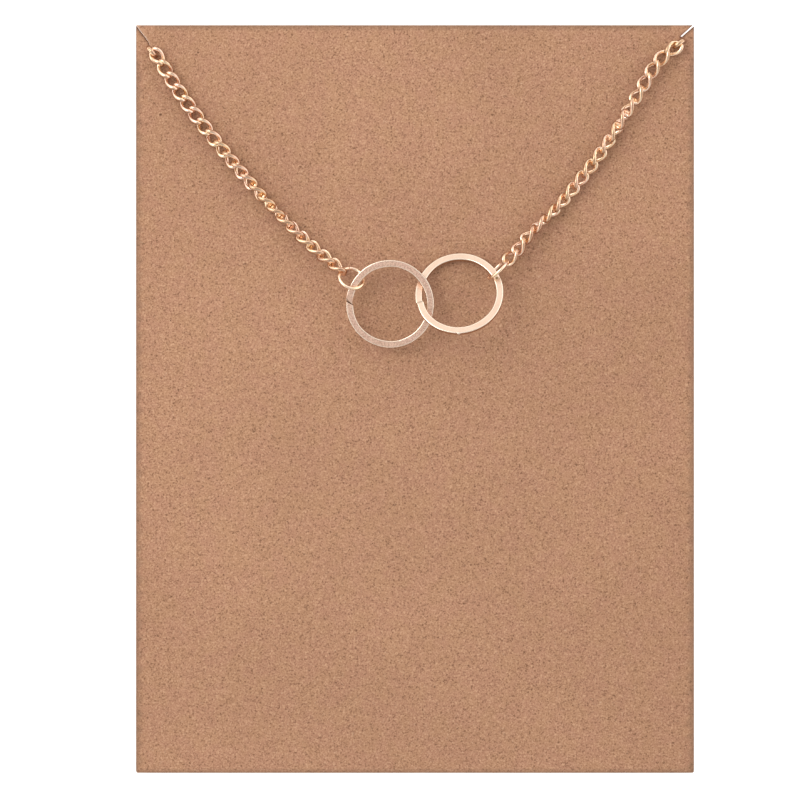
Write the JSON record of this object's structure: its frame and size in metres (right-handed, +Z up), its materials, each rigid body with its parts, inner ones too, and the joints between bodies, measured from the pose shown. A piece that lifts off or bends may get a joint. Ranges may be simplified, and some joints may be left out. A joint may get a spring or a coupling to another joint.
{
  "type": "circle necklace on display card",
  "caption": "Fine twisted curb chain necklace with interlocked flat circles on jump rings, threaded through the corner slits of a plain card",
  "frame": {"origin": "bottom centre of the whole: the middle of the card in X and Y, the table in Z", "axes": "+X to the right of the card, +Y towards the card's top edge, +Z up out of its face"},
  "size_m": [0.07, 0.0938, 0.0076],
  "materials": {
    "card_stock": "matt uncoated kraft card with fine mottling, specks and fibres",
    "circle_metal": "rose gold plating, softly brushed faces with bright edges",
    "chain_metal": "bright rose gold plating"
  },
  "bodies": {
    "root": {"card": "card_stock", "left_circle": "circle_metal", "right_circle": "circle_metal", "left_jump_ring": "chain_metal", "right_jump_ring": "chain_metal", "clasp": "chain_metal", "end_ring": "chain_metal", "chain_left": "chain_metal", "chain_right": "chain_metal"}
  },
  "joints": []
}
